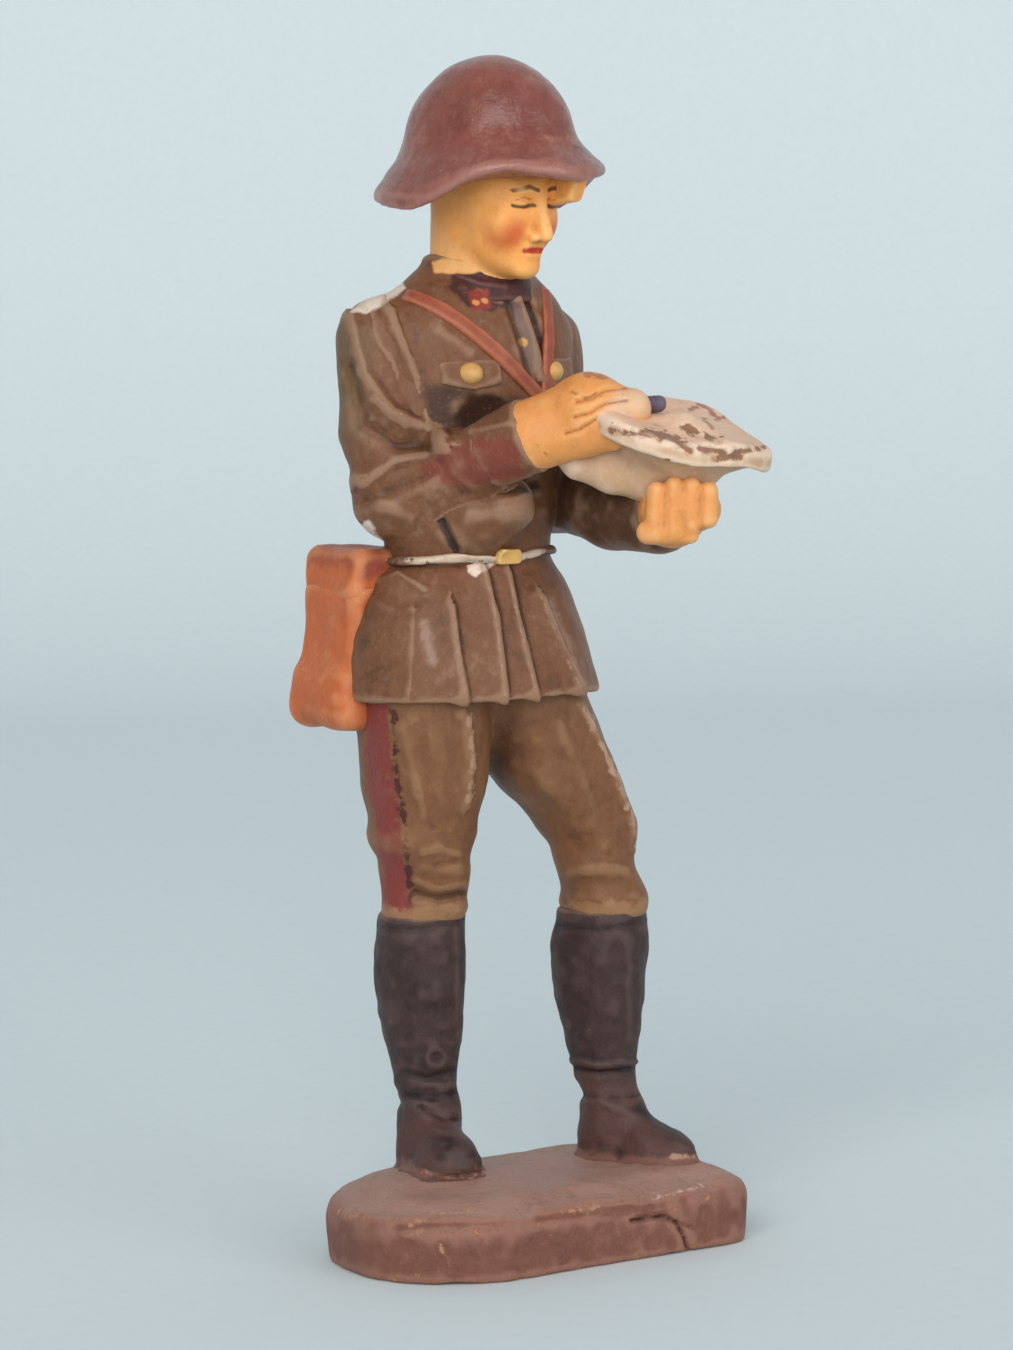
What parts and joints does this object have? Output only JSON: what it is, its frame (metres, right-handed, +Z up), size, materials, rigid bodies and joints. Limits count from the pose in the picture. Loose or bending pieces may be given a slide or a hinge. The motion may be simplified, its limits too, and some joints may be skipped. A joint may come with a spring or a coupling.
{
  "type": "toy soldier figure",
  "caption": "Painted composition toy soldier in helmet, belted tunic, breeches and high boots, standing on an oblong base and writing on a sheet held in the left hand.",
  "frame": {"origin": "middle of the base's underside", "axes": "+Z up, the figure faces -Y, its right side is -X"},
  "size_m": [0.026, 0.0243, 0.0752],
  "materials": {
    "base_paint": "hand-painted enamel, worn",
    "boot_paint": "hand-painted enamel, worn",
    "breeches_paint": "hand-painted enamel, worn",
    "tunic_paint": "hand-painted enamel, worn",
    "collar_paint": "hand-painted enamel, worn",
    "flesh_paint": "hand-painted enamel, worn",
    "helmet_paint": "hand-painted enamel, worn",
    "cuff_paint": "hand-painted enamel, worn",
    "pencil_paint": "hand-painted enamel, worn",
    "sheet_paint": "hand-painted enamel, worn",
    "case_paint": "hand-painted enamel, worn",
    "lid_paint": "hand-painted enamel, worn",
    "belt_paint": "hand-painted enamel, worn",
    "buckle_paint": "hand-painted enamel, worn",
    "strap_paint": "hand-painted enamel, worn",
    "button_paint": "hand-painted enamel, worn",
    "iron_wire": "bare drawn wire"
  },
  "bodies": {
    "root": {"base": "base_paint", "right_boot": "boot_paint", "left_boot": "boot_paint", "right_breeches": "breeches_paint", "left_breeches": "breeches_paint", "tunic_skirt": "tunic_paint", "tunic_body": "tunic_paint", "collar": "collar_paint", "head": "flesh_paint", "helmet": "helmet_paint", "right_sleeve": "tunic_paint", "left_sleeve": "tunic_paint", "right_cuff": "cuff_paint", "left_cuff": "tunic_paint", "right_hand": "flesh_paint", "left_hand": "flesh_paint", "pencil": "pencil_paint", "map_sheet": "sheet_paint", "case_body": "case_paint", "case_lid": "lid_paint", "belt": "belt_paint", "buckle": "buckle_paint", "right_strap": "strap_paint", "left_strap": "strap_paint", "pocket_flaps": "tunic_paint", "tunic_buttons": "button_paint", "right_leg_wire": "iron_wire", "left_leg_wire": "iron_wire", "spine_wire": "iron_wire", "right_arm_wire": "iron_wire", "left_arm_wire": "iron_wire"}
  },
  "joints": []
}
